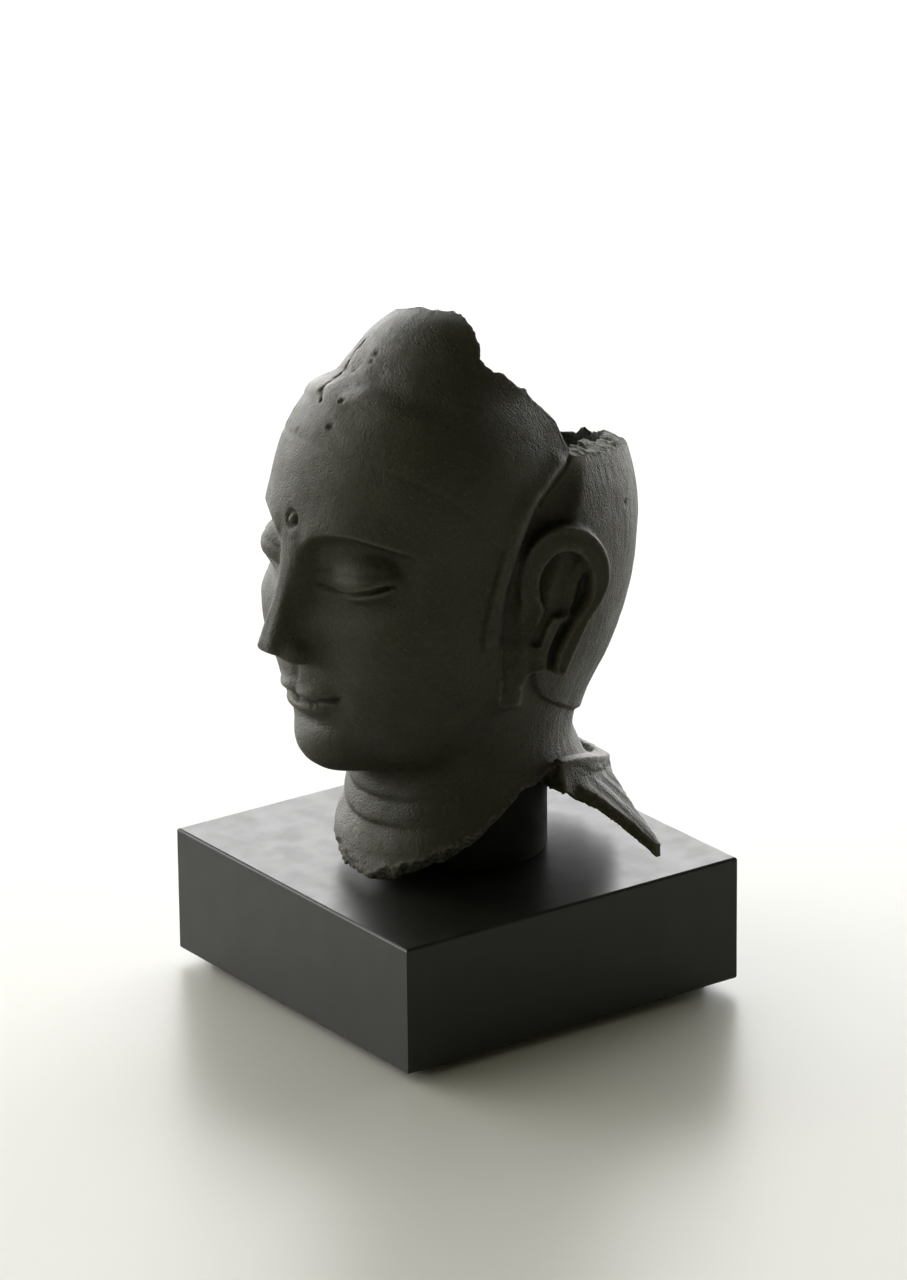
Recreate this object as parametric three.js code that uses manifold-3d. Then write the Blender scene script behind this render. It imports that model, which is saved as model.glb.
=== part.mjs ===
// Bronze head of a buddha on a square black plinth.
// Millimetres, +Z up, the face looks along -Y. The origin is the middle of the plinth's underside.
import * as THREE from 'three';
import { mergeVertices } from 'three/addons/utils/BufferGeometryUtils.js';
import Module from 'manifold-3d';

// Driving sizes
const plinthWidth = 210;
const plinthHeight = 68;
const plinthEdge = 1.2;
const footHeight = 5;
const footInset = 12;
const postRadius = 45;
const postHeight = 55.7;
const postChamfer = 2.5;
const headHeight = 240;
const castingWall = 8;
const seatLedge = 6;
const seatDepth = 9;
const seatLip = 6;
const neckLift = 2;
const fit = 0.3;

// Shares of the head's height: the figure is drawn in 240 parts from the chin to the crown
const partsInHead = 240;
const part = headHeight / partsInHead;
const seatBelowChin = 4;
const cell = 3.2 * part;
const headTriangles = 8600;
const postSides = 72;

// Heights that follow from the sizes above
const underPlinth = footHeight + fit;
const plinthTop = underPlinth + plinthHeight;
const postTop = plinthTop + fit + postHeight;
const chinHeight = postTop + fit + seatBelowChin * part;
const topInParts = (plinthTop - chinHeight) / part;
const wallInParts = castingWall / part;

// Blending and small helpers for the carved form
const clamp01 = (t) => Math.min(1, Math.max(0, t));
const smoothStep = (t) => clamp01(t) ** 2 * (3 - 2 * clamp01(t));
const bell = (t) => Math.exp(-t * t);

function join(a, b, blend) {
  const overlap = Math.max(blend - Math.abs(a - b), 0) / blend;
  return Math.min(a, b) - overlap * overlap * blend / 4;
}

function common(a, b, blend) {
  return -join(-a, -b, blend);
}

function carve(a, b, blend) {
  return common(a, -b, blend);
}

function ellipsoid(x, y, z, cx, cy, cz, rx, ry, rz) {
  const a = (x - cx) / rx;
  const b = (y - cy) / ry;
  const c = (z - cz) / rz;
  const inside = Math.hypot(a, b, c);
  const slope = Math.hypot(a / rx, b / ry, c / rz);
  return slope < 1e-9 ? -Math.min(rx, ry, rz) : inside * (inside - 1) / slope;
}

// Distance to a row of points [x, y, z, radius]; the tube between two points tapers
function tube(x, y, z, route) {
  let best = Infinity;
  for (let i = 1; i < route.length; i += 1) {
    const [ax, ay, az, ar] = route[i - 1];
    const [bx, by, bz, br] = route[i];
    const dx = bx - ax;
    const dy = by - ay;
    const dz = bz - az;
    const reach = (x - ax) * dx + (y - ay) * dy + (z - az) * dz;
    const along = clamp01(reach / (dx * dx + dy * dy + dz * dz));
    const gap = Math.hypot(x - ax - along * dx, y - ay - along * dy, z - az - along * dz);
    best = Math.min(best, gap - ar - along * (br - ar));
  }
  return best;
}

// Signed distance to an open line [a, b] in a plane, positive on its left
function besideLine(a, b, line) {
  let best = Infinity;
  let side = 1;
  for (let i = 1; i < line.length; i += 1) {
    const [ax, ay] = line[i - 1];
    const [bx, by] = line[i];
    const dx = bx - ax;
    const dy = by - ay;
    const along = clamp01(((a - ax) * dx + (b - ay) * dy) / (dx * dx + dy * dy));
    const gap = Math.hypot(a - ax - along * dx, b - ay - along * dy);
    if (gap < best - 1e-9) {
      best = gap;
      side = dx * (b - ay) - dy * (a - ax) >= 0 ? 1 : -1;
    }
  }
  return best * side;
}

// Waves of unlike pitch that make a break look ragged
function ragged(x, y, z, pitch) {
  const a = x / pitch;
  const b = y / pitch;
  const c = z / pitch;
  return (Math.sin(a * 6.1 + 2.3 * b + 0.7) * Math.sin(5.3 * b - 1.9 * c + 1.1)
    + 0.6 * Math.sin(9.7 * a - 4.1 * c + 2.9) * Math.sin(8.3 * c + 3.7 * b)
    + 0.4 * Math.sin(14.9 * b + 6.7 * a + 0.4)) / 2;
}

// Skull, hair cap, topknot dome, full cheeks, jaw and neck as one smooth mass
const skullMiddle = 118;
const neckAxis = 4;
const topknot = { y: 4, z: 183, rx: 56, ry: 62, rz: 54 };

function neckRadius(height) {
  return 58 + 20 * Math.exp(-(height - 3) / 16);
}

function neckMass(x, y, z) {
  const height = Math.max(z - topInParts, -4);
  const forward = smoothStep((20 - y) / 50);
  const napeFlare = 7 * smoothStep((68 - height) / 24) * smoothStep((y - 5) / 45);
  const radius = 58 + (neckRadius(height) - 58) * forward + napeFlare;
  const round = Math.hypot(x, y - neckAxis) - radius;
  return Math.max(round * 0.85, z - 45, topInParts - 8 - z);
}

function skullMass(x, y, z) {
  const tall = z > skullMiddle ? 98 : 132;
  const skull = ellipsoid(x, y, z, 0, 0, skullMiddle, 79, 101, tall);
  const hair = ellipsoid(x, y, z, 0, -12, 150, 74, 80, 68);
  return join(skull, hair, 12);
}

function faceMass(x, y, z) {
  const side = Math.abs(x);
  let face = ellipsoid(x, y, z, 0, -30, 80, 65, 65, 82);
  face = join(face, ellipsoid(side, y, z, 33, -50, 78, 33, 36, 40), 20);
  face = join(face, ellipsoid(side, y, z, 26, -42, 34, 30, 36, 30), 16);
  face = join(face, ellipsoid(x, y, z, 0, -62, 49, 35, 33, 26), 14);
  return join(face, ellipsoid(x, y, z, 0, -67, 17, 27, 27, 19), 13);
}

// The bay that the ear sits in, behind the thick edge of the hair cap
const earBay = [[82, 28, 163, 12], [84, 9, 141.5, 15], [84, -1, 121, 15], [84, -9, 102, 15],
  [83, -10, 91, 15], [79, -14, 76, 11], [74, -21, 58, 5]];

// The valley between the topknot dome and the hair cap, as [arc round the skull, height]
const arcRadius = 80;
const domeValley = [[-0.01, -66, 203], [12, -64, 204], [28, -60, 201], [39, -52, 198], [49, -41, 195],
  [57, -29, 191], [62, -10, 190]].map(([x, y, z]) => [Math.atan2(x, -y) * arcRadius, z]);

function valleyDepth(x, y, z) {
  const side = Math.abs(x);
  const off = besideLine(Math.atan2(side, -y) * arcRadius, z, domeValley);
  const fade = smoothStep((62 - side) / 20) * smoothStep((-10 - y) / 25) * smoothStep((z - 170) / 10);
  return fade * (2.6 * bell(off > 0 ? off / 7 : off / 3.2) - 0.8 * bell((off + 6) / 4));
}

function bareHead(x, y, z) {
  const side = Math.abs(x);
  let mass = join(skullMass(x, y, z), faceMass(x, y, z), 16);
  mass = carve(mass, tube(side, y, z, earBay), 4);
  const dome = ellipsoid(x, y, z, 0, topknot.y, topknot.z, topknot.rx, topknot.ry, topknot.rz);
  mass = join(mass, dome, 3.5);
  return join(mass, neckMass(x, y, z), 10) + valleyDepth(x, y, z);
}

// Face, drawn by thirds: chin 0, foot of the nose 65, brows 130
function browHeight(side) {
  return 121 + 17 * Math.sin(Math.PI * clamp01((side - 4) / 74) ** 0.72);
}

function noseMass(x, y, z) {
  const side = Math.abs(x);
  const down = clamp01((128 - z) / 54);
  const ridge = -98.5 - 20 * down ** 1.1;
  const flank = (side - 3.2 - 2.2 * down - (y - ridge) * (0.42 + 0.25 * down)) * 0.84;
  const front = (ridge - y) * 0.9;
  const under = (66.5 + (-100 - y) * 0.28 - z) * 0.95;
  let nose = common(common(flank, front, 2.5), under, 3);
  nose = common(nose, z - 134, 8);
  nose = join(nose, ellipsoid(side, y, z, 10.5, -103, 72, 7, 9.5, 6.2), 4);
  return carve(nose, ellipsoid(side, y, z, 5.6, -107.5, 65.5, 2.8, 4.8, 3.2), 1.5);
}

function mouthHeight(side) {
  return 43 + 3.4 * (side / 24) ** 2 - 1.3 * bell(side / 5);
}

function lipMass(x, y, z) {
  const side = Math.abs(x);
  const upper = join(ellipsoid(side, y, z, 7, -89, 47, 13, 11, 4.8),
    ellipsoid(side, y, z, 15, -84, 46.6, 11, 10, 3.2), 4);
  const lower = ellipsoid(x, y, z, 0, -88, 38.6, 18, 10.5, 6);
  return join(upper, lower, 1.5);
}

function eyeSlit(side) {
  return 106 + 4.2 * ((side - 30) / 20) ** 2 + 0.06 * (side - 30);
}

function eyeForm(side, y, z, face) {
  const below = browHeight(side) - z;
  const width = smoothStep((side - 6) / 9) * smoothStep((70 - side) / 24) * smoothStep((-45 - y) / 20);
  let form = face + 6.2 * smoothStep(below / 8) * smoothStep((z - 84) / 22) * width;
  const ball = ellipsoid(side, y, z, 32, -71, 112, 21, 19.5, 14.5);
  form = join(form, ball, 5);
  const slit = eyeSlit(side);
  const upper = common(ball - 1.7, (slit - z) * 0.8, 0.7);
  const lower = common(ball - 0.8, (z - slit + 2.2) * 0.8, 0.7);
  form = join(form, join(upper, lower, 0.4), 1.6);
  const lids = smoothStep((side - 12) / 3) * smoothStep((55 - side) / 5) * smoothStep((-60 - y) / 12);
  form += 1.6 * lids * bell((z - slit + 0.6) / 1.1);
  form += 0.8 * lids * bell((z - slit - 9.5 + 0.009 * (side - 32) ** 2) / 1.4);
  const ledge = bell(below < 0 ? below / 9 : below / 2.4);
  return form - 1.7 * width * ledge;
}

function carvedFace(x, y, z, mass) {
  const side = Math.abs(x);
  if (y > -20 || z > 170 || z < -12) {
    return mass;
  }
  let face = eyeForm(side, y, z, mass);
  face = join(face, noseMass(x, y, z), 6);
  face = join(face, lipMass(x, y, z), 3);
  const front = smoothStep((-60 - y) / 15);
  const mouth = mouthHeight(side);
  face += front * 2.6 * bell((z - mouth) / 1.6) * smoothStep((27 - side) / 5);
  face += front * 2.4 * bell((z - 28) / 4.5) * bell(side / 15);
  face += front * 1.3 * bell(side / 3) * smoothStep((z - 51) / 4) * smoothStep((66 - z) / 4);
  face += front * 1.8 * bell((side - 25) / 5) * bell((z - 46) / 6);
  return face + 2.4 * smoothStep((3.4 - Math.hypot(side, z - 139)) / 1.2) * front;
}

// Ears, in a plane that leans out to the rear: u runs back along it, w stands out of it
const earLean = 18 * Math.PI / 180;
const earOrigin = { x: 80, y: 14 };
const earLobe = [[-25, 104], [-24.5, 50], [-2.8, 50], [21.5, 102]];
const antihelix = [[9, 110, 0, 1.8], [4, 102, 0, 2.2], [2, 93, 0, 2.2], [-1.6, 85.5, 0, 2],
  [-8, 82, 0, 1.6]];

function convexOutline(a, b, corners) {
  let outside = -Infinity;
  for (let i = 0; i < corners.length; i += 1) {
    const [ax, ay] = corners[i];
    const [bx, by] = corners[(i + 1) % corners.length];
    const length = Math.hypot(bx - ax, by - ay);
    outside = Math.max(outside, ((by - ay) * (a - ax) - (bx - ax) * (b - ay)) / length);
  }
  return outside;
}

function earRelief(u, v, outline) {
  const bowl = ellipsoid(u, v, 0, -0.5, 102.5, 0, 15.3, 19, 15);
  const channel = tube(u, v, 0, [[7, 96, 0, 5.5], [-2.5, 77, 0, 3.4], [-7.3, 67, 0, 3], [-9.8, 54, 0, 2.8]]);
  const opening = join(bowl, channel, 3);
  const tragus = 2 * smoothStep((94 - v) / 4) * smoothStep((v - 70) / 14) * smoothStep((-14 - u) / 4);
  const rim = 2.4 - 1.4 * clamp01((opening - 4) / 6) + 0.9 * bell((outline + 1.6) / 1.5) - tragus;
  const concha = smoothStep((-ellipsoid(u, v, 0, -8, 94, 0, 8.5, 11.5, 10)) / 4);
  const notch = smoothStep((-tube(u, v, 0, [[-12.5, 84, 0, 2.6], [-16.5, 74, 0, 3.4]])) / 2.2);
  const floor = -6 - 9 * concha + 5.5 * bell(Math.max(tube(u, v, 0, antihelix), 0) / 2.4);
  const inside = smoothStep(-opening / 4);
  return rim * (1 - inside) + floor * inside - 9 * notch;
}

function earMass(x, y, z) {
  const side = Math.abs(x);
  const lean = Math.sin(earLean);
  const run = Math.cos(earLean);
  const u = (side - earOrigin.x) * lean + (y - earOrigin.y) * run;
  const w = (side - earOrigin.x) * run - (y - earOrigin.y) * lean;
  if (Math.abs(w) > 34 || Math.abs(u) > 60) {
    return 25;
  }
  const ring = ellipsoid(u, z, 0, -0.8, 107, 0, 24.3, 26.5, 24);
  const lobe = convexOutline(u, z, earLobe);
  const lobeBreak = (x > 0 ? 57 : 52) - 0.027 * (u + 14) ** 2;
  const chips = 0.8 * ragged(u, z, 0, 22);
  const broken = common(lobe, lobeBreak + chips - z, 0.5);
  const outline = join(ring, broken, 8);
  const plate = Math.max(common(outline, (w - earRelief(u, z, outline)) * 0.7, 1.6), -w - 22);
  const stripSides = Math.max(u + 24.6 + chips, -48 - u, 39.4 - z + 0.08 * (u + 25) - chips);
  const stripFace = w - 0.6 + 0.13 * Math.max(-28 - u, 0) ** 1.3 + 0.35 * Math.max(z - 72, 0);
  return join(plate, Math.max(common(stripSides, stripFace, 2), -w - 20), 2);
}

// Hair behind the ears ends in a raised edge that curves down to the nape
function hairLayer(x, y, z) {
  const front = -3 - y;
  const hem = (44 - 36 * clamp01(y / 62) ** 0.8 - z) * 0.85;
  const shown = Math.max(smoothStep((78 - z) / 14), smoothStep((y - 10) / 25));
  return 2 * smoothStep(-common(front, hem, 16) / 3) * shown;
}

// Collar band that stands off the nape, and the fold of the robe that is left of the left shoulder
function robeMass(x, y, z) {
  const height = z - topInParts;
  const plan = Math.hypot(x / 63.5, (y - 13) / 68.5);
  const round = (plan - 1) * 65.5;
  const back = clamp01((y - 22) / 62);
  const top = 60.5 - 22.5 * back ** 1.6;
  const bottom = 44 - 32 * back + 2 * ragged(x, y, z, 30);
  const rise = clamp01((height - bottom) / Math.max(top - bottom, 1));
  const flare = 4 * (1 - rise) ** 2;
  const outside = round - flare - 3.6;
  const inside = -(round - flare) - 3.6 - 15 * (1 - rise) ** 1.4;
  const end = (x > 0 ? 20 : 34) + 1.5 * ragged(x, y, z, 26) - y;
  const band = Math.max(outside, inside, height - top, bottom - height, end);
  const reach = Math.hypot(x, y - neckAxis) - 62;
  const slope = 52 - 0.55 * reach - 0.003 * Math.max(reach, 0) ** 2;
  const pleat = 0.3 * Math.sin((y - 0.5 * x) * 0.6);
  const sheet = (Math.abs(height - slope + 4.2 - pleat) - 3.8) * 0.72;
  const jag = 0.6 * ragged(x, y, z, 22);
  const frontCut = besideLine(x, y, [[40, 6], [60, 25], [75, 38.5], [101, 60], [130, 84]]) + jag;
  const rearCut = besideLine(x, y, [[10, 76], [44, 66], [70, 60], [101, 61.5], [130, 60]]) + jag;
  const tip = x - 98 + 2 * ragged(x, y, z, 20);
  const tongue = Math.max(sheet, -frontCut, rearCut, tip, 38 - x, -reach - 2);
  return join(band, tongue, 4);
}

// Breaks: the rear of the crown is lost, and so is all below the neck
const crownBreak = [[-70, 262], [-24, 238], [-12, 233], [-4, 229], [-7, 216], [-9, 203], [0, 196],
  [4, 191], [15, 178], [22, 169], [24, 158], [28, 150.5], [58, 147.6], [80, 147], [100, 143.5],
  [150, 142]];
const crownTilt = 0.25;

function crownLoss(x, y, z) {
  const jag = 1.6 * ragged(x, y, z, 24) + 0.8 * ragged(y, x, z, 11);
  return -besideLine(y, z - crownTilt * x, crownBreak) * 0.97 + jag;
}

// Height of the neck's broken edge over the plinth, by the angle round the neck from the front
const neckBreak = [[-3.2, 20], [-1.4, 20], [-0.7, 14], [-0.36, 8.5], [0, 5], [0.28, 2], [0.48, 7],
  [0.7, 13], [1.03, 22], [1.3, 33], [1.55, 44], [1.85, 49], [2.3, 34], [3.2, 20]];

function neckBreakHeight(x, y) {
  const around = Math.atan2(x, neckAxis - y);
  const next = neckBreak.findIndex((point) => point[0] >= around);
  const [fromAngle, fromHeight] = neckBreak[next - 1];
  const [toAngle, toHeight] = neckBreak[next];
  return fromHeight + (toHeight - fromHeight) * (around - fromAngle) / (toAngle - fromAngle);
}

// The broken edge is bevelled: the outer skin, where skin is near 0, is lost further up than the inner
function neckLoss(x, y, z, skin) {
  const edge = neckBreakHeight(x, y) + 0.75 * (skin + wallInParts / 2);
  return (z - topInParts - edge - 1.2 * ragged(x, y, z, 20)) * 0.7;
}

function neckFolds(x, y, z) {
  const height = z - topInParts;
  const sweep = 0.3 * (y + 54);
  const strength = smoothStep((40 - y) / 30) * smoothStep((52 - height) / 8);
  const [first, second, third] = [14, 27, 40].map((level) => {
    const over = height - level - sweep;
    return bell(over > 0 ? over / 2.2 : over / 4.5);
  });
  return strength * Math.max(1.1 * first, 1.5 * second, 1.2 * third);
}

// A ledge in the throat, which the post's top is let into and carries
function throatLedge(x, y, z) {
  const ring = (postRadius - seatLedge) / part - Math.hypot(x, y - neckAxis);
  const aboveSeat = z + seatBelowChin;
  return Math.max(-aboveSeat - seatLip / part, aboveSeat - seatDepth / part, ring);
}

// The whole casting: positive outside, negative in the metal; x, y, z in parts from the chin
function headField(x, y, z) {
  const bare = bareHead(x, y, z);
  if (bare > 60) {
    return bare - 20;
  }
  let outer = carvedFace(x, y, z, bare) - hairLayer(x, y, z);
  outer += neckFolds(x, y, z);
  const cavity = Math.max(bare + wallInParts, outer + 0.8 * wallInParts);
  const hollow = carve(cavity, throatLedge(x, y, z), 2);
  let metal = join(outer, earMass(x, y, z), 1.5);
  metal = carve(metal, neckLoss(x, y, z, outer), 0.6);
  metal = join(metal, robeMass(x, y, z), 3);
  metal = carve(metal, hollow, 2);
  metal = carve(metal, crownLoss(x, y, z), 0.6);
  return Math.max(metal, topInParts + neckLift / part - z);
}

// Surface of a field: a point in each cell that the surface crosses, and a face across each crossed edge
const cubeCorners = [0, 1, 2, 3, 4, 5, 6, 7].map((i) => [i & 1, (i >> 1) & 1, (i >> 2) & 1]);
const cubeEdges = [];
for (let i = 0; i < 8; i += 1) {
  for (const step of [1, 2, 4]) {
    if (!(i & step)) {
      cubeEdges.push([i, i | step]);
    }
  }
}

function pieces(chosen) {
  let left = new Set(chosen);
  let count = 0;
  while (left.size) {
    const open = [left.values().next().value];
    left.delete(open[0]);
    count += 1;
    while (open.length) {
      const corner = open.pop();
      for (const step of [1, 2, 4]) {
        if (left.delete(corner ^ step)) {
          open.push(corner ^ step);
        }
      }
    }
  }
  return count;
}

// A cell is simple where its metal and its air are one patch each, on the cell and on each of its faces
const simpleCell = [];
for (let signs = 0; signs < 256; signs += 1) {
  const filled = [0, 1, 2, 3, 4, 5, 6, 7].filter((i) => signs & (1 << i));
  const empty = [0, 1, 2, 3, 4, 5, 6, 7].filter((i) => !(signs & (1 << i)));
  let simple = pieces(filled) <= 1 && pieces(empty) <= 1;
  for (const axis of [1, 2, 4]) {
    for (const side of [0, axis]) {
      const onFace = filled.filter((i) => (i & axis) === side);
      simple = simple && !(onFace.length === 2 && (onFace[0] ^ onFace[1] ^ 7) === axis);
    }
  }
  simpleCell.push(simple);
}

function surfaceOf(field, low, high, step) {
  const count = [0, 1, 2].map((k) => Math.ceil((high[k] - low[k]) / step) + 1);
  const [nx, ny, nz] = count;
  const values = new Float32Array(nx * ny * nz).fill(1e3);
  const index = (i, j, k) => (k * ny + j) * nx + i;
  const block = 3;
  const farAway = block * step * 1.2;
  for (let k = 0; k < nz; k += block) {
    for (let j = 0; j < ny; j += block) {
      for (let i = 0; i < nx; i += block) {
        const middle = [i, j, k].map((n, axis) => low[axis] + (n + block / 2) * step);
        const near = field(...middle);
        const skip = Math.abs(near) > farAway;
        for (let c = k; c < Math.min(k + block, nz); c += 1) {
          for (let b = j; b < Math.min(j + block, ny); b += 1) {
            for (let a = i; a < Math.min(i + block, nx); a += 1) {
              const at = [low[0] + a * step, low[1] + b * step, low[2] + c * step];
              values[index(a, b, c)] = skip ? near : field(...at);
            }
          }
        }
      }
    }
  }
  const offsets = cubeCorners.map(([a, b, c]) => index(a, b, c));
  const signsAt = (at) => offsets.reduce((signs, offset, i) => (
    values[at + offset] < 0 ? signs | (1 << i) : signs), 0);
  let rough = true;
  for (let pass = 0; rough && pass < 30; pass += 1) {
    rough = false;
    for (let k = 0; k < nz - 1; k += 1) {
      for (let j = 0; j < ny - 1; j += 1) {
        for (let i = 0; i < nx - 1; i += 1) {
          const at = index(i, j, k);
          if (!simpleCell[signsAt(at)]) {
            const empty = offsets.filter((offset) => values[at + offset] >= 0);
            const nearest = empty.reduce((a, b) => (values[at + a] < values[at + b] ? a : b));
            values[at + nearest] = -0.05 * step;
            rough = true;
          }
        }
      }
    }
  }
  const cellPoint = new Int32Array(nx * ny * nz).fill(-1);
  const points = [];
  for (let k = 0; k < nz - 1; k += 1) {
    for (let j = 0; j < ny - 1; j += 1) {
      for (let i = 0; i < nx - 1; i += 1) {
        const at = index(i, j, k);
        const signs = signsAt(at);
        if (signs !== 0 && signs !== 255) {
          const sum = [0, 0, 0];
          let crossed = 0;
          for (const [from, to] of cubeEdges) {
            const start = values[at + offsets[from]];
            const end = values[at + offsets[to]];
            if ((start < 0) !== (end < 0)) {
              const share = start / (start - end);
              for (let axis = 0; axis < 3; axis += 1) {
                const run = cubeCorners[to][axis] - cubeCorners[from][axis];
                sum[axis] += cubeCorners[from][axis] + share * run;
              }
              crossed += 1;
            }
          }
          const spot = [i, j, k].map((n, axis) => low[axis] + (n + sum[axis] / crossed) * step);
          cellPoint[at] = points.length;
          points.push(settle(field, spot, step));
        }
      }
    }
  }
  const faces = [];
  const strides = [1, nx, nx * ny];
  for (let k = 1; k < nz - 1; k += 1) {
    for (let j = 1; j < ny - 1; j += 1) {
      for (let i = 1; i < nx - 1; i += 1) {
        const at = index(i, j, k);
        for (let axis = 0; axis < 3; axis += 1) {
          const start = values[at] < 0;
          if (start !== (values[at + strides[axis]] < 0)) {
            const b = strides[(axis + 1) % 3];
            const c = strides[(axis + 2) % 3];
            const quad = [at - b - c, at - c, at, at - b].map((n) => cellPoint[n]);
            if (!start) {
              quad.reverse();
            }
            faces.push([quad[0], quad[1], quad[2]], [quad[0], quad[2], quad[3]]);
          }
        }
      }
    }
  }
  return { points, faces };
}

// Moves a point onto the surface along the field's slope, by no more than a third of a cell
function settle(field, spot, step) {
  const h = step * 0.1;
  const value = field(...spot);
  const slope = [0, 1, 2].map((axis) => {
    const ahead = [...spot];
    ahead[axis] += h;
    return (field(...ahead) - value) / h;
  });
  const steep = Math.max(slope[0] ** 2 + slope[1] ** 2 + slope[2] ** 2, 0.2);
  const limit = step / 3;
  return spot.map((n, axis) => n - Math.min(limit, Math.max(-limit, value * slope[axis] / steep)));
}

// Fewer triangles: the edge whose loss changes the shape least goes first, by the squared distance
// to the planes around it
function simplify(points, faces, target) {
  const at = new Float64Array(points.flat());
  const tri = new Int32Array(faces.flat());
  const alive = new Uint8Array(faces.length).fill(1);
  const around = points.map(() => []);
  const planes = new Float64Array(points.length * 10);
  const version = new Int32Array(points.length);
  const normal = [0, 0, 0];

  function faceNormal(a, b, c) {
    const ux = at[3 * b] - at[3 * a];
    const uy = at[3 * b + 1] - at[3 * a + 1];
    const uz = at[3 * b + 2] - at[3 * a + 2];
    const vx = at[3 * c] - at[3 * a];
    const vy = at[3 * c + 1] - at[3 * a + 1];
    const vz = at[3 * c + 2] - at[3 * a + 2];
    normal[0] = uy * vz - uz * vy;
    normal[1] = uz * vx - ux * vz;
    normal[2] = ux * vy - uy * vx;
    return Math.hypot(normal[0], normal[1], normal[2]);
  }

  for (let f = 0; f < faces.length; f += 1) {
    const corners = [tri[3 * f], tri[3 * f + 1], tri[3 * f + 2]];
    const size = faceNormal(...corners) || 1e-12;
    const [a, b, c] = normal.map((n) => n / size);
    const d = -(a * at[3 * corners[0]] + b * at[3 * corners[0] + 1] + c * at[3 * corners[0] + 2]);
    const plane = [a * a, a * b, a * c, a * d, b * b, b * c, b * d, c * c, c * d, d * d];
    for (const corner of corners) {
      around[corner].push(f);
      for (let i = 0; i < 10; i += 1) {
        planes[10 * corner + i] += plane[i] * size / 2;
      }
    }
  }

  const q = new Float64Array(10);
  function loss(x, y, z) {
    return q[0] * x * x + 2 * q[1] * x * y + 2 * q[2] * x * z + 2 * q[3] * x + q[4] * y * y
      + 2 * q[5] * y * z + 2 * q[6] * y + q[7] * z * z + 2 * q[8] * z + q[9];
  }

  function bestSpot(a, b) {
    for (let i = 0; i < 10; i += 1) {
      q[i] = planes[10 * a + i] + planes[10 * b + i];
    }
    const m = [0, 1, 2].map((axis) => (at[3 * a + axis] + at[3 * b + axis]) / 2);
    const run = [0, 1, 2].map((axis) => at[3 * a + axis] - at[3 * b + axis]);
    const length = Math.hypot(...run);
    const det = q[0] * (q[4] * q[7] - q[5] * q[5]) - q[1] * (q[1] * q[7] - q[5] * q[2])
      + q[2] * (q[1] * q[5] - q[4] * q[2]);
    const scale = (q[0] + q[4] + q[7]) ** 3;
    let spot = m;
    if (Math.abs(det) > 1e-4 * scale) {
      const rx = -q[3];
      const ry = -q[6];
      const rz = -q[8];
      const x = (rx * (q[4] * q[7] - q[5] * q[5]) - q[1] * (ry * q[7] - q[5] * rz)
        + q[2] * (ry * q[5] - q[4] * rz)) / det;
      const y = (q[0] * (ry * q[7] - q[5] * rz) - rx * (q[1] * q[7] - q[5] * q[2])
        + q[2] * (q[1] * rz - ry * q[2])) / det;
      const z = (q[0] * (q[4] * rz - ry * q[5]) - q[1] * (q[1] * rz - ry * q[2])
        + rx * (q[1] * q[5] - q[4] * q[2])) / det;
      if (Math.hypot(x - m[0], y - m[1], z - m[2]) < length) {
        spot = [x, y, z];
      }
    }
    return { spot, cost: Math.max(loss(...spot), 0) + 1e-4 * length ** 2 };
  }

  const heap = [];
  function push(entry) {
    let i = heap.length;
    heap.push(entry);
    while (i > 0) {
      const above = (i - 1) >> 1;
      if (heap[above].cost <= entry.cost) {
        break;
      }
      heap[i] = heap[above];
      i = above;
    }
    heap[i] = entry;
  }

  function pop() {
    const top = heap[0];
    const last = heap.pop();
    if (heap.length) {
      let i = 0;
      for (;;) {
        let below = 2 * i + 1;
        if (below >= heap.length) {
          break;
        }
        if (below + 1 < heap.length && heap[below + 1].cost < heap[below].cost) {
          below += 1;
        }
        if (heap[below].cost >= last.cost) {
          break;
        }
        heap[i] = heap[below];
        i = below;
      }
      heap[i] = last;
    }
    return top;
  }

  function offer(a, b) {
    const { spot, cost } = bestSpot(a, b);
    push({ a, b, spot, cost, va: version[a], vb: version[b] });
  }

  function neighbours(a) {
    const found = new Set();
    for (const f of around[a]) {
      for (let i = 0; i < 3; i += 1) {
        found.add(tri[3 * f + i]);
      }
    }
    found.delete(a);
    return found;
  }

  function turnsOver(a, b, spot) {
    for (const f of around[a]) {
      const corners = [tri[3 * f], tri[3 * f + 1], tri[3 * f + 2]];
      if (!corners.includes(b)) {
        const before = faceNormal(...corners);
        const [nx, ny, nz] = normal;
        const kept = [at[3 * a], at[3 * a + 1], at[3 * a + 2]];
        at.set(spot, 3 * a);
        const after = faceNormal(...corners);
        const same = nx * normal[0] + ny * normal[1] + nz * normal[2];
        at.set(kept, 3 * a);
        if (same < 0.25 * before * after || after < 1e-3) {
          return true;
        }
      }
    }
    return false;
  }

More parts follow.
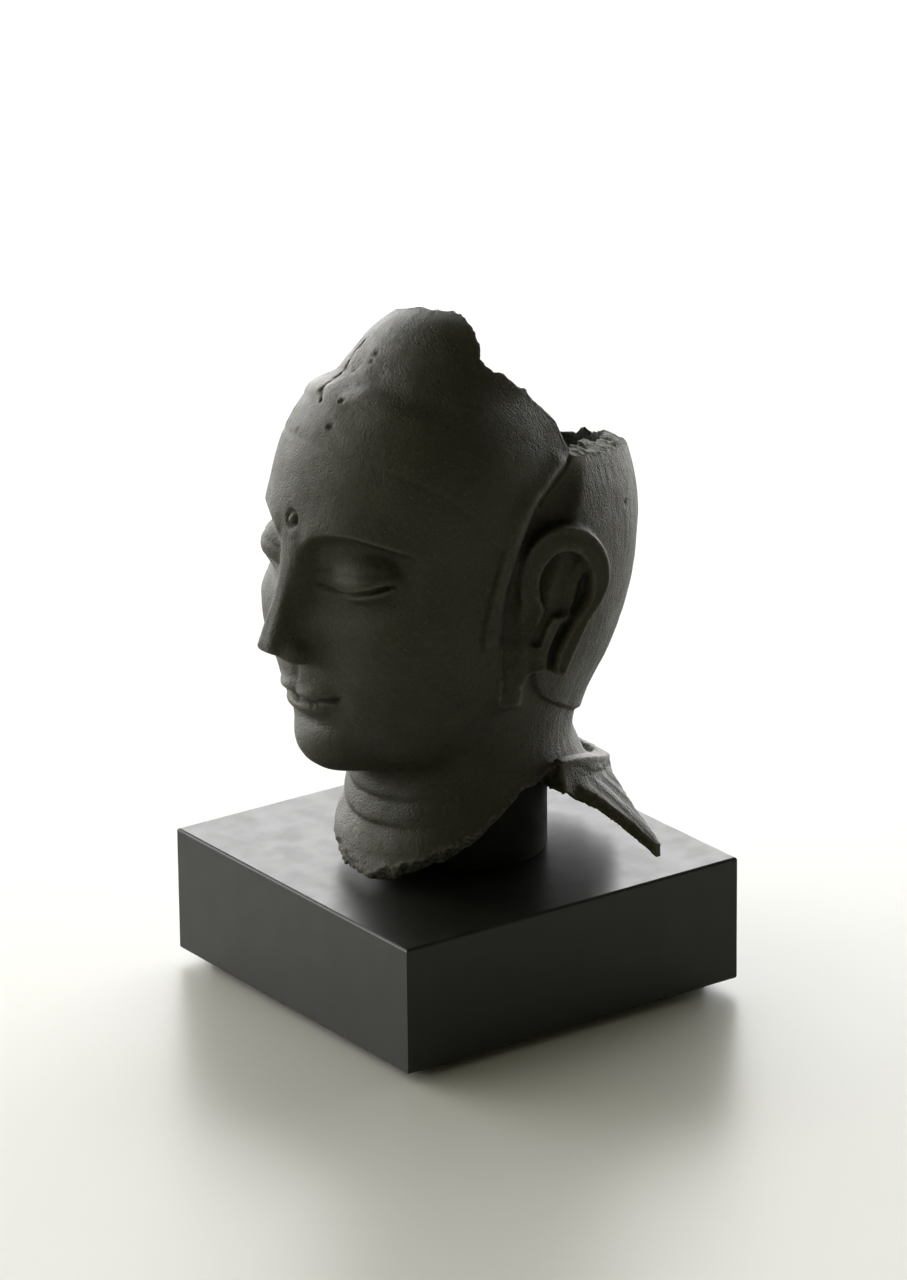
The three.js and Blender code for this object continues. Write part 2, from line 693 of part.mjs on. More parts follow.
  for (let a = 0; a < points.length; a += 1) {
    for (const b of neighbours(a)) {
      if (a < b) {
        offer(a, b);
      }
    }
  }
  let left = faces.length;
  while (left > target && heap.length) {
    const { a, b, spot, va, vb } = pop();
    if (version[a] === va && version[b] === vb) {
      const nearA = neighbours(a);
      const shared = [...neighbours(b)].filter((n) => nearA.has(n));
      if (shared.length === 2 && !turnsOver(a, b, spot) && !turnsOver(b, a, spot)) {
        at.set(spot, 3 * a);
        for (let i = 0; i < 10; i += 1) {
          planes[10 * a + i] += planes[10 * b + i];
        }
        for (const f of around[b]) {
          const corners = [tri[3 * f], tri[3 * f + 1], tri[3 * f + 2]];
          if (corners.includes(a)) {
            alive[f] = 0;
            left -= 1;
            for (const n of corners) {
              around[n] = around[n].filter((g) => g !== f);
            }
          }
        }
        for (const f of around[b]) {
          if (alive[f]) {
            tri[3 * f + [0, 1, 2].find((i) => tri[3 * f + i] === b)] = a;
            around[a].push(f);
          }
        }
        around[b] = [];
        version[b] = -1;
        version[a] += 1;
        for (const n of neighbours(a)) {
          offer(a, n);
        }
      }
    }
  }
  const renumber = new Map();
  const kept = [];
  const triangles = [];
  for (let f = 0; f < faces.length; f += 1) {
    if (alive[f]) {
      for (let i = 0; i < 3; i += 1) {
        const v = tri[3 * f + i];
        if (!renumber.has(v)) {
          renumber.set(v, renumber.size);
          kept.push(at[3 * v], at[3 * v + 1], at[3 * v + 2]);
        }
        triangles.push(renumber.get(v));
      }
    }
  }
  return { vertices: new Float32Array(kept), triangles: new Uint32Array(triangles) };
}

// Solids; the box that the head's surface is looked for in, in parts
const headLow = [-98, -126, topInParts - 4];
const headHigh = [108, 112, 252];
const wasm = await Module();
wasm.setup();

function solidOf(vertices, triangles) {
  return new wasm.Manifold(new wasm.Mesh({ numProp: 3, vertProperties: vertices, triVerts: triangles }));
}

function solidOfGeometry(geometry) {
  const bare = geometry.clone();
  bare.deleteAttribute('normal');
  bare.deleteAttribute('uv');
  const merged = mergeVertices(bare, 1e-4);
  const corners = new Float32Array(merged.attributes.position.array);
  return solidOf(corners, new Uint32Array(merged.index.array));
}

function geometryOf(solid) {
  const mesh = solid.getMesh();
  const geometry = new THREE.BufferGeometry();
  const corners = new Float32Array(mesh.vertProperties);
  geometry.setAttribute('position', new THREE.BufferAttribute(corners, 3));
  geometry.setIndex(new THREE.BufferAttribute(new Uint32Array(mesh.triVerts), 1));
  geometry.computeVertexNormals();
  return geometry;
}

// The post, grown on all sides by a gap; the gap leaves the foot of the post where it is
function postGeometry(gap) {
  const radius = postRadius + gap;
  const height = postHeight + gap;
  const shoulder = height - postChamfer;
  const profile = [[0, 0], [radius, 0], [radius, shoulder], [radius - postChamfer, height], [0, height]];
  const outline = profile.map(([x, y]) => new THREE.Vector2(x, y));
  const geometry = new THREE.LatheGeometry(outline, postSides);
  return geometry.rotateX(Math.PI / 2).translate(0, neckAxis * part, plinthTop + fit);
}

function headGeometry() {
  const surface = surfaceOf(headField, headLow, headHigh, cell / part);
  const { vertices, triangles } = simplify(surface.points, surface.faces, headTriangles);
  for (let i = 0; i < vertices.length; i += 3) {
    vertices[i] *= part;
    vertices[i + 1] *= part;
    vertices[i + 2] = vertices[i + 2] * part + chinHeight;
  }
  const seat = solidOfGeometry(postGeometry(fit));
  return geometryOf(solidOf(vertices, triangles).subtract(seat));
}

// A square block with eased edges all round
function blockGeometry(width, height, edge) {
  const half = width / 2 - edge;
  const outline = new THREE.Shape([[-half, -half], [half, -half], [half, half], [-half, half]]
    .map(([x, y]) => new THREE.Vector2(x, y)));
  const bevel = { bevelEnabled: true, bevelThickness: edge, bevelSize: edge, bevelSegments: 2 };
  const geometry = new THREE.ExtrudeGeometry(outline, { depth: height - 2 * edge, ...bevel });
  return geometry.translate(0, 0, edge);
}

function plinthGeometry() {
  return blockGeometry(plinthWidth, plinthHeight, plinthEdge).translate(0, 0, underPlinth);
}

function footGeometry() {
  const width = plinthWidth - 2 * footInset;
  return new THREE.BoxGeometry(width, width, footHeight).translate(0, 0, footHeight / 2);
}

// Finishes
const bronze = new THREE.MeshStandardMaterial({ color: 0x4a463a, roughness: 0.62, metalness: 0.55 });
const satinBlack = new THREE.MeshStandardMaterial({ color: 0x141414, roughness: 0.42, metalness: 0 });

function piece(name, geometry, material) {
  const mesh = new THREE.Mesh(geometry, material);
  mesh.name = name;
  return mesh;
}

const object = new THREE.Group();
object.add(piece('head', headGeometry(), bronze));
object.add(piece('post', postGeometry(0), satinBlack));
object.add(piece('plinth', plinthGeometry(), satinBlack));
object.add(piece('plinth_foot', footGeometry(), satinBlack));

export default object;
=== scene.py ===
"""Looks of the bronze buddha head on its post and plinth.

Metres, +Z up, the face looks along -Y. The head is drawn in parts of a 240th of its height from chin
to crown, with z counted from the chin, and its surface is found from a field that is negative in the metal.
"""

import math

import bpy
import numpy as np
from mathutils import Matrix, Vector


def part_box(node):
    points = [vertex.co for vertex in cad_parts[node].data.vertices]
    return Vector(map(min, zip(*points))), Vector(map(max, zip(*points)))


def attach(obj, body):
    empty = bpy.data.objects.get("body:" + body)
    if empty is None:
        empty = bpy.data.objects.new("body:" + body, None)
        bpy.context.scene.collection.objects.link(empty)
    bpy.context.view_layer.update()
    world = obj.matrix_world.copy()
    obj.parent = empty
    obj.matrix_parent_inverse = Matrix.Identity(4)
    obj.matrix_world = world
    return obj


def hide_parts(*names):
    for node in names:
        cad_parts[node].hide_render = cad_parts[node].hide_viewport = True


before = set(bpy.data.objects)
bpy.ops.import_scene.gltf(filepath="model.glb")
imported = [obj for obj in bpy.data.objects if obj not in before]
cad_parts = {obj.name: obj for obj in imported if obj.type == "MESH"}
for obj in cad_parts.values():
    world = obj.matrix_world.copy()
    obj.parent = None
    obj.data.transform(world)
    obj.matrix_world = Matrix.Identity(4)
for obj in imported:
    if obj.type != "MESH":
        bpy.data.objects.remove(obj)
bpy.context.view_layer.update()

# Sizes in metres, as the CAD has them
HEAD_HEIGHT = 0.240
CASTING_WALL = 0.008
FIT = 0.0003
POST_CHAMFER = 0.0025
PLINTH_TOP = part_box("plinth")[1].z
post_low, post_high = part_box("post")

# The lower edge of the visual post, and how near it the rings stand that keep its shading crisp
POST_EDGE = 0.0004
EDGE_SUPPORT = 0.0003

# Sizes in parts of the head
PARTS_IN_HEAD = 240
PART = HEAD_HEIGHT / PARTS_IN_HEAD
SEAT_BELOW_CHIN = 4
SEAT_LEDGE = 6
SEAT_DEPTH = 9
SEAT_LIP = 6
SEAT_PLAY = 0.3
NECK_LIFT = 2
NECK_AXIS = 4
WALL = CASTING_WALL / PART
POST_RADIUS = (post_high.x - post_low.x) / 2 / PART

# Height of the chin in metres, and of the plinth's top below the chin in parts
CHIN_HEIGHT = post_high.z + FIT + SEAT_BELOW_CHIN * PART
TOP = (PLINTH_TOP - CHIN_HEIGHT) / PART

# Fineness: the grid of the head's surface in parts, the head's triangles, and the post's sides
STEP = 1.35
TRIANGLES = 196000
POST_SIDES = 180

# Value of a field where nothing of it is near
FAR = 25.0


# Blending and small helpers for the carved form
def clamp01(t):
    return np.clip(t, 0, 1)


def smooth_step(t):
    t = np.clip(t, 0, 1)
    return t * t * (3 - 2 * t)


def bell(t):
    return np.exp(-t * t)


def join(a, b, blend):
    overlap = np.maximum(blend - np.abs(a - b), 0) / blend
    return np.minimum(a, b) - overlap * overlap * blend / 4


def common(a, b, blend):
    return -join(-a, -b, blend)


def carve(a, b, blend):
    return common(a, -b, blend)


def length(*sides):
    return np.sqrt(sum(s * s for s in sides))


def ellipsoid(x, y, z, centre, radii):
    a = (x - centre[0]) / radii[0]
    b = (y - centre[1]) / radii[1]
    c = (z - centre[2]) / radii[2]
    inside = length(a, b, c)
    slope = length(a / radii[0], b / radii[1], c / radii[2])
    return np.where(slope < 1e-9, -min(radii), inside * (inside - 1) / np.maximum(slope, 1e-9))


def tube(x, y, z, route):
    """Distance to a row of points (x, y, z, radius); the tube between two points tapers."""
    best = np.full(np.shape(x), np.inf)
    for (ax, ay, az, ar), (bx, by, bz, br) in zip(route, route[1:]):
        dx, dy, dz = bx - ax, by - ay, bz - az
        reach = (x - ax) * dx + (y - ay) * dy + (z - az) * dz
        along = clamp01(reach / (dx * dx + dy * dy + dz * dz))
        gap = length(x - ax - along * dx, y - ay - along * dy, z - az - along * dz)
        best = np.minimum(best, gap - ar - along * (br - ar))
    return best


def beside_line(a, b, line):
    """Signed distance to an open line in a plane, positive on its left."""
    best = np.full(np.shape(a), np.inf)
    side = np.ones(np.shape(a))
    for (ax, ay), (bx, by) in zip(line, line[1:]):
        dx, dy = bx - ax, by - ay
        along = clamp01(((a - ax) * dx + (b - ay) * dy) / (dx * dx + dy * dy))
        gap = length(a - ax - along * dx, b - ay - along * dy)
        turn = np.where(dx * (b - ay) - dy * (a - ax) >= 0, 1.0, -1.0)
        nearer = gap < best - 1e-9
        side = np.where(nearer, turn, side)
        best = np.where(nearer, gap, best)
    return best * side


def ragged(x, y, z, pitch):
    """Waves of unlike pitch that make a break look ragged."""
    a, b, c = x / pitch, y / pitch, z / pitch
    return (
        np.sin(a * 6.1 + 2.3 * b + 0.7) * np.sin(5.3 * b - 1.9 * c + 1.1)
        + 0.6 * np.sin(9.7 * a - 4.1 * c + 2.9) * np.sin(8.3 * c + 3.7 * b)
        + 0.4 * np.sin(14.9 * b + 6.7 * a + 0.4)
    ) / 2


def grain(x, y, z, pitch, seed):
    """Smooth noise between -1 and 1 on a grid of that pitch."""
    cell, share = [], []
    for value in (x, y, z):
        scaled = value / pitch
        whole = np.floor(scaled)
        part = scaled - whole
        cell.append(whole.astype(np.int64))
        share.append(part * part * (3 - 2 * part))
    total = 0.0
    for corner in range(8):
        step = [(corner >> axis) & 1 for axis in range(3)]
        key = (cell[0] + step[0]) * 73856093
        key ^= (cell[1] + step[1]) * 19349663
        key ^= (cell[2] + step[2]) * 83492791
        key = (key ^ (seed * 40503)) & 0xFFFFFFFF
        key = ((key ^ (key >> 13)) * 1274126177) & 0xFFFFFFFF
        key ^= key >> 16
        weight = 1.0
        for axis in range(3):
            weight = weight * (share[axis] if step[axis] else 1 - share[axis])
        total = total + weight * (key / 2147483648.0 - 1)
    return total


# Skull, hair cap, topknot dome, full cheeks, jaw and neck as one smooth mass
SKULL_MIDDLE = 118
ARC_RADIUS = 80
EAR_BAY = [
    (82, 28, 163, 12), (84, 9, 141.5, 15), (84, -1, 121, 15), (84, -9, 102, 15),
    (83, -10, 91, 15), (79, -14, 76, 11), (74, -21, 58, 5),
]


def neck_mass(x, y, z):
    height = np.maximum(z - TOP, -4)
    forward = smooth_step((20 - y) / 50)
    nape = 7 * smooth_step((68 - height) / 24) * smooth_step((y - 5) / 45)
    radius = 58 + 20 * np.exp(-(height - 3) / 16) * forward + nape
    around = length(x, y - NECK_AXIS) - radius
    return np.maximum(np.maximum(around * 0.85, z - 45), TOP - 8 - z)


def skull_mass(x, y, z):
    tall = np.where(z > SKULL_MIDDLE, 98.0, 132.0)
    a, b, c = x / 79, y / 101, (z - SKULL_MIDDLE) / tall
    inside = length(a, b, c)
    slope = length(a / 79, b / 101, c / tall)
    skull = np.where(slope < 1e-9, -79, inside * (inside - 1) / np.maximum(slope, 1e-9))
    return join(skull, ellipsoid(x, y, z, (0, -12, 150), (74, 80, 68)), 12)


def face_mass(x, y, z):
    side = np.abs(x)
    face = ellipsoid(x, y, z, (0, -30, 80), (65, 65, 82))
    face = join(face, ellipsoid(side, y, z, (33, -50, 78), (33, 36, 40)), 20)
    face = join(face, ellipsoid(side, y, z, (26, -42, 34), (30, 36, 30)), 16)
    face = join(face, ellipsoid(x, y, z, (0, -62, 49), (35, 33, 26)), 14)
    return join(face, ellipsoid(x, y, z, (0, -67, 17), (27, 27, 19)), 13)


def around_route(points):
    """Points (x, y, z) on the skull as (arc round it, height), so that only their direction matters."""
    return [(math.atan2(x, -y) * ARC_RADIUS, z) for x, y, z in points]


def off_route(side, y, z, route):
    """Distance over the skull's surface to a route of (arc, height) points."""
    arc = np.arctan2(side, -y) * ARC_RADIUS
    return np.abs(beside_line(arc, z, route))


DOME_VALLEY = around_route([
    (-0.01, -66, 203), (12, -64, 204), (28, -60, 201), (39, -52, 198), (49, -41, 195), (57, -29, 191),
    (62, -10, 190),
])


def dome_valley(x, y, z):
    """The valley round the foot of the topknot dome, and the low ridge below it."""
    side = np.abs(x)
    off = beside_line(np.arctan2(side, -y) * ARC_RADIUS, z, DOME_VALLEY)
    fade = smooth_step((62 - side) / 20) * smooth_step((-10 - y) / 25) * smooth_step((z - 170) / 10)
    valley = np.where(off > 0, bell(off / 7), bell(off / 3.2))
    return fade * (3.0 * valley - 1.5 * bell((off + 6) / 3.6))


def bare_head(x, y, z):
    side = np.abs(x)
    mass = join(skull_mass(x, y, z), face_mass(x, y, z), 16)
    mass = carve(mass, tube(side, y, z, EAR_BAY), 3)
    mass = join(mass, ellipsoid(x, y, z, (0, 4, 183), (56, 62, 54)), 3.5)
    return join(mass, neck_mass(x, y, z), 10) + dome_valley(x, y, z)


# Face, drawn by thirds: chin 0, foot of the nose 65, brows 130
def brow_height(side):
    return 121 + 17 * np.sin(math.pi * clamp01((side - 4) / 74) ** 0.72)


def nose_mass(x, y, z):
    side = np.abs(x)
    down = clamp01((128 - z) / 54)
    ridge = -98.5 - 20 * down ** 1.1
    flank = (side - 3.2 - 2.2 * down - (y - ridge) * (0.42 + 0.25 * down)) * 0.84
    front = (ridge - y) * 0.9
    under = (66.5 + (-100 - y) * 0.28 - z) * 0.95
    nose = common(common(flank, front, 2.5), under, 3)
    nose = common(nose, z - 134, 8)
    nose = join(nose, ellipsoid(side, y, z, (10.5, -103, 72), (7, 9.5, 6.2)), 4)
    return carve(nose, ellipsoid(side, y, z, (5.6, -107.5, 65.5), (2.8, 4.8, 3.2)), 1.5)


def eye_slit(side):
    return 106 + 4.2 * ((side - 30) / 20) ** 2 + 0.06 * (side - 30)


def lip_mass(x, y, z):
    side = np.abs(x)
    upper = ellipsoid(side, y, z, (7, -89, 47), (13, 11, 4.8))
    upper = join(upper, ellipsoid(side, y, z, (15, -84, 46.6), (11, 10, 3.2)), 4)
    return join(upper, ellipsoid(x, y, z, (0, -88, 38.6), (18, 10.5, 6)), 1.5)


def eye_form(side, y, z, face):
    below = brow_height(side) - z
    window = smooth_step((side - 6) / 9) * smooth_step((70 - side) / 24) * smooth_step((-45 - y) / 20)
    socket = smooth_step(below / 8) * smooth_step((z - 84) / 22)
    form = face + 6.2 * socket * window
    ball = ellipsoid(side, y, z, (32, -71, 112), (21, 19.5, 14.5))
    form = join(form, ball, 5)
    slit = eye_slit(side)
    upper = common(ball - 1.7, (slit - z) * 0.8, 0.7)
    lower = common(ball - 0.8, (z - slit + 2.2) * 0.8, 0.7)
    form = join(form, join(upper, lower, 0.4), 1.6)
    lash = smooth_step((side - 12) / 3) * smooth_step((55 - side) / 5) * smooth_step((-60 - y) / 12)
    form = form + 1.6 * lash * bell((z - slit + 0.6) / 1.1)
    fold = slit + 9.5 - 0.009 * (side - 32) ** 2
    form = form + 0.8 * lash * bell((z - fold) / 1.4)
    form = form + 0.6 * lash * bell((z - slit + 8) / 2.2)
    ledge = np.where(below < 0, bell(below / 9), bell(below / 2.4))
    return form - 1.7 * window * ledge


def carved_face(x, y, z, mass):
    side = np.abs(x)
    face = eye_form(side, y, z, mass)
    face = join(face, nose_mass(x, y, z), 6)
    face = join(face, lip_mass(x, y, z), 3)
    front = smooth_step((-60 - y) / 15)
    mouth = 43 + 3.4 * (side / 24) ** 2 - 1.3 * bell(side / 5)
    face = face + front * 2.6 * bell((z - mouth) / 1.6) * smooth_step((27 - side) / 5)
    face = face + front * 2.4 * bell((z - 28) / 4.5) * bell(side / 15)
    groove = bell(side / 3) * smooth_step((z - 51) / 4) * smooth_step((66 - z) / 4)
    face = face + front * (1.3 * groove + 1.8 * bell((side - 25) / 5) * bell((z - 46) / 6))
    bead = length(side, z - 139)
    return face + front * (1.9 * bell((bead - 3.6) / 1.3) - 1.2 * bell(bead / 2.4))


# Ears, in a plane that leans out to the rear: u runs back along it, w stands out of it
EAR_LEAN = math.radians(18)
EAR_ORIGIN = (80, 14)
EAR_LOBE = [(-25, 104), (-24.5, 50), (-2.8, 50), (21.5, 102)]
EAR_CHANNEL = [(7, 96, 0, 6), (-2.5, 77, 0, 4.4), (-7.3, 67, 0, 4), (-9.8, 54, 0, 3.6)]
EAR_NOTCH = [(-8.5, 90, 0, 4), (-13, 82, 0, 2.8), (-16.5, 74, 0, 3.6)]
ANTIHELIX = [(9, 110, 0, 1.8), (4, 102, 0, 2.2), (2, 93, 0, 2.2), (-1.6, 85.5, 0, 2), (-8, 82, 0, 1.6)]
LEFT_LOBE_BREAK = 57.0
RIGHT_LOBE_BREAK = 52.0


def convex_outline(a, b, corners):
    outside = np.full(np.shape(a), -np.inf)
    for (ax, ay), (bx, by) in zip(corners, corners[1:] + corners[:1]):
        reach = ((by - ay) * (a - ax) - (bx - ax) * (b - ay)) / math.hypot(bx - ax, by - ay)
        outside = np.maximum(outside, reach)
    return outside


def ear_relief(u, v, outline):
    """Height of the ear's carving over its plane."""
    flat = np.zeros(np.shape(u))
    bowl = ellipsoid(u, v, flat, (-0.5, 102.5, 0), (15.3, 19, 15))
    opening = join(bowl, tube(u, v, flat, EAR_CHANNEL), 3)
    tragus = 2 * smooth_step((98 - v) / 12) * smooth_step((v - 70) / 14) * smooth_step((-14 - u) / 4)
    rim = 2.4 - 1.4 * clamp01((opening - 4) / 6) + 0.9 * bell((outline + 1.6) / 1.5) - tragus
    concha = smooth_step(-ellipsoid(u, v, flat, (-8, 94, 0), (8.5, 11.5, 10)) / 4)
    notch = smooth_step(-tube(u, v, flat, EAR_NOTCH) / 2.6)
    antihelix = bell(np.maximum(tube(u, v, flat, ANTIHELIX), 0) / 2.4)
    floor = -4.8 - 3 * smooth_step(-bowl / 6) - 8 * concha + 5.5 * antihelix
    inside = smooth_step(-opening / 4)
    return rim * (1 - inside) + floor * inside - 8 * notch * (1 - 0.6 * inside)


def ear_masses(x, y, z):
    """The ear itself, and the flat strip in front of its lobe."""
    side = np.abs(x)
    lean, run = math.sin(EAR_LEAN), math.cos(EAR_LEAN)
    u = (side - EAR_ORIGIN[0]) * lean + (y - EAR_ORIGIN[1]) * run
    w = (side - EAR_ORIGIN[0]) * run - (y - EAR_ORIGIN[1]) * lean
    flat = np.zeros(np.shape(u))
    ring = ellipsoid(u, z, flat, (-0.8, 107, 0), (24.3, 26.5, 24))
    lobe = convex_outline(u, z, EAR_LOBE)
    lobe_break = np.where(x > 0, LEFT_LOBE_BREAK, RIGHT_LOBE_BREAK) - 0.027 * (u + 14) ** 2
    chips = 0.8 * ragged(u, z, 0, 22) + 0.3 * grain(u, z, w, 2.6, 3)
    broken = common(lobe, lobe_break + chips - z, 0.5)
    outline = join(ring, broken, 3)
    plate = np.maximum(common(outline, (w - ear_relief(u, z, outline)) * 0.7, 1.6), -w - 22)
    strip = np.maximum(u + 24.6 + chips, -48 - u)
    strip = np.maximum(strip, 39.4 - z + 0.08 * (u + 25) - chips)
    front = w - 0.6 + 0.2 * np.maximum(-28 - u, 0) ** 1.3 + 0.35 * np.maximum(z - 72, 0)
    strip = common(strip, front, 2)
    far = (np.abs(w) > 34) | (np.abs(u) > 60)
    both = np.stack([plate, np.maximum(strip, -w - 20)], 1)
    return np.where(far[:, None], FAR, both)


def hair_layer(x, y, z):
    """Hair behind the ears ends in a raised edge that curves down to the nape."""
    hem = (44 - 36 * clamp01(y / 62) ** 0.8 - z) * 0.85
    shown = np.maximum(smooth_step((78 - z) / 14), smooth_step((y - 10) / 25))
    return 2 * smooth_step(-common(-3 - y, hem, 16) / 3) * shown


SHOULDER_FRONT_CUT = [(40, 6), (60, 25), (75, 38.5), (101, 60), (130, 84)]
SHOULDER_REAR_CUT = [(10, 76), (44, 66), (70, 60), (101, 61.5), (130, 60)]


def robe_mass(x, y, z):
    """Collar band that stands off the nape, and what is left of the robe on the left shoulder."""
    height = z - TOP
    around = (length(x / 63.5, (y - 13) / 68.5) - 1) * 65.5
    back = clamp01((y - 22) / 62)
    top = 60.5 - 22.5 * back ** 1.6
    bottom = 44 - 32 * back + 2 * ragged(x, y, z, 30) + 0.4 * grain(x, y, z, 3, 22)
    rise = clamp01((height - bottom) / np.maximum(top - bottom, 1))
    flare = 4 * (1 - rise) ** 2
    streaks = 0.12 * grain(np.arctan2(x, y) * 69, z * 0, z * 0.12, 2.2, 23)
    outside = around - flare - 3.6 + streaks
    inside = -(around - flare) - 3.6 - 15 * (1 - rise) ** 1.4
    end = np.where(x > 0, 20.0, 34.0) + 1.5 * ragged(x, y, z, 26) - y + 0.4 * grain(x, y, z, 3, 24)
    band = np.maximum(np.maximum(outside, inside), np.maximum(height - top, bottom - height))
    band = np.maximum(band, end)
    reach = length(x, y - NECK_AXIS) - 62
    slope = 52 - 0.55 * reach - 0.003 * np.maximum(reach, 0) ** 2
    pleat = 0.3 * np.sin((y - 0.5 * x) * 0.6) + 0.08 * np.sin((y - 0.45 * x) * 1.7 + 0.6)
    rough = 0.15 * grain(x, y, z, 3.2, 25) + 0.25 * grain(x, y, z, 8, 26)
    sheet = (np.abs(height - slope + 4.2 - pleat) - 3.8 + rough) * 0.72
    jag = 0.6 * ragged(x, y, z, 22) + 0.5 * grain(x, y, z, 2.6, 27) + 0.5 * grain(x, y, z, 6, 29)
    front_cut = beside_line(x, y, SHOULDER_FRONT_CUT) + jag
    rear_cut = beside_line(x, y, SHOULDER_REAR_CUT) + jag
    tip = x - 98 + 2 * ragged(x, y, z, 20) + 0.4 * grain(x, y, z, 3, 28)
    tongue = np.maximum(np.maximum(sheet, -front_cut), np.maximum(rear_cut, tip))
    tongue = np.maximum(tongue, np.maximum(38 - x, -reach - 2))
    return join(band, tongue, 4)


# Breaks: the rear of the crown is lost, and so is all below the neck
CROWN_BREAK = [
    (-70, 262), (-24, 238), (-12, 233), (-4, 229), (-7, 216), (-9, 203), (0, 196), (4, 191), (15, 178),
    (22, 169), (24, 158), (28, 150.5), (58, 147.6), (80, 147), (100, 143.5), (150, 142),
]
CROWN_TILT = 0.25
NECK_BREAK = [
    (-3.2, 20), (-1.4, 20), (-0.7, 14), (-0.36, 8.5), (0, 5), (0.28, 2), (0.48, 7), (0.7, 13),
    (1.03, 22), (1.3, 33), (1.55, 44), (1.85, 49), (2.3, 34), (3.2, 20),
]


def crown_loss(x, y, z, skin):
    """The lost rear of the crown: a ragged break, drawn out in fibres at the rear."""
    jag = 1.6 * ragged(x, y, z, 24) + 0.8 * ragged(y, x, z, 11)
    jag = jag + 0.5 * grain(x, y, z, 5, 31) + 0.35 * grain(x, y, z, 2.3, 32)
    rear = smooth_step((y - 12) / 14)
    fibres = 1.5 * grain(np.arctan2(x, y) * ARC_RADIUS, y * 0.2, z * 0.1, 3.4, 35)
    fibres = rear * (fibres - 0.5 * (skin + WALL / 2))
    return -beside_line(y, z - CROWN_TILT * x, CROWN_BREAK) * 0.97 + jag + fibres


def neck_loss(x, y, z, skin):
    """What is lost below the neck: a ragged break that is bevelled through the wall."""
    around = np.arctan2(x, NECK_AXIS - y)
    angles, heights = zip(*NECK_BREAK)
    edge = np.interp(around, angles, heights) + skin + WALL / 2
    jag = 1.2 * ragged(x, y, z, 20) + 0.9 * grain(x, y, z, 4.2, 33) + 0.6 * grain(x, y, z, 2.2, 34)
    return (z - TOP - edge - jag) * 0.7


def neck_folds(x, y, z):
    """Three worn folds round the front of the neck, which fade to its left."""
    height = z - TOP
    sweep = 0.3 * (y + 54)
    strength = smooth_step((40 - y) / 30) * smooth_step((52 - height) / 8) * smooth_step((52 - x) / 48)
    deepest = 0.0
    for level, depth in ((14, 1.1), (27, 1.5), (40, 1.2)):
        over = height - level - sweep
        deepest = np.maximum(deepest, depth * bell(np.where(over > 0, over / 2.2, over / 4.5)))
    return strength * deepest


def throat_ledge(x, y, z):
    """The ledge inside the neck that the post's top is let into."""
    ring = POST_RADIUS - SEAT_LEDGE - length(x, y - NECK_AXIS)
    above = z + SEAT_BELOW_CHIN
    return np.maximum(np.maximum(-above - SEAT_LIP, above - SEAT_DEPTH), ring)


def post_seat(x, y, z):
    """The space of the post and its clearance."""
    around = length(x, y - NECK_AXIS) - POST_RADIUS - 2 * SEAT_PLAY
    return np.maximum(around, z + SEAT_BELOW_CHIN - SEAT_PLAY)


# Finer carving that only the visual model has
HAIRLINE = around_route([
    (-28, -85, 170), (-10, -87, 177), (8, -86.6, 177), (36, -77.7, 173.5), (54, -65, 167),
    (66, -51, 158), (73, -36.5, 145), (76, -30, 132), (76.5, -25, 128),
])
SIDEBURN = around_route([
    (77, -23, 127), (76, -26.6, 114), (75.5, -30.4, 102), (75, -33.2, 91), (74.3, -34.4, 82),
    (73.7, -34, 76),
])
RIDGE = around_route([
    (72, 15, 165), (77.2, -6.4, 150), (78, -14.2, 139.6), (77.8, -18.4, 128), (77.2, -21.6, 117),
    (76.4, -24.8, 106), (75.7, -27.5, 93), (74.5, -28.9, 79),
])
CRACK = around_route([
    (-19, -37, 218.5), (-24, -45, 208), (-20.6, -56.4, 201), (-16.5, -63.6, 199), (-8.2, -73.6, 194),
])
GROOVE = around_route([
    (67.4, 29, 171), (70, 23, 164), (70, 17.8, 157), (69.5, 12, 150.5), (69.5, 6, 143),
])
# Casting flaws on the front of the hair cap and the rear shell: a place and a radius
PITS = [
    (-37, -71, 182, 1.3), (-16, -84, 179, 1.2), (-39, -74, 176, 1.4), (6, -71, 197, 1.4),
    (8, -80, 186, 1.6), (-11, -52, 206, 0.9), (-1, -45, 216, 1.3), (-1, -48, 212, 0.9),
    (62, 65, 131, 1.7), (-30, -78, 178, 0.9), (-26, -76, 188, 1.1), (4, -76, 194, 0.8),
    (54, -40, 190, 0.9), (-60, -30, 186, 1.3), (-48, 62, 128, 1.4), (63, -20, 189, 0.8),
    (20, 88, 118, 1.3), (-18, 92, 100, 1.1), (-22, -82, 172, 0.9), (20, -62, 202, 0.8),
]
PIT_DEPTH = 1.6


def fine_relief(x, y, z):
    """Height that is taken from the outer skin, in parts."""
    side = np.abs(x)
    sunk = 0.5 * bell(off_route(side, y, z, HAIRLINE) / 1.5)
    sunk = sunk + 1.4 * bell(off_route(side, y, z, SIDEBURN) / 1.5)
    sunk = sunk - 2.2 * bell(off_route(side, y, z, RIDGE) / 4.8)
    wander = 2.2 * grain(x, y, z, 4, 41) + 1.0 * grain(x, y, z, 1.7, 46)
    sunk = sunk + 2.4 * bell(off_route(x + wander, y, z, CRACK) / 0.8) * (y < -30)
    sunk = sunk + 1.8 * bell(off_route(side + wander, y, z, GROOVE) / 1.4)
    for px, py, pz, radius in PITS:
        sunk = sunk + PIT_DEPTH * bell(length(x - px, y - py, z - pz) / radius)
    around = np.arctan2(x, y - NECK_AXIS) * ARC_RADIUS
    streaks = grain(around, z * 0, z * 0.1, 1.9, 42)
    rear = smooth_step((y - 5) / 30)
    sunk = sunk + (0.04 + 0.07 * rear) * streaks
    sunk = sunk + 0.28 * grain(x, y, z, 17, 43) + 0.10 * grain(x, y, z, 5.5, 44)
    return sunk + 0.06 * grain(x, y, z, 2.4, 45)


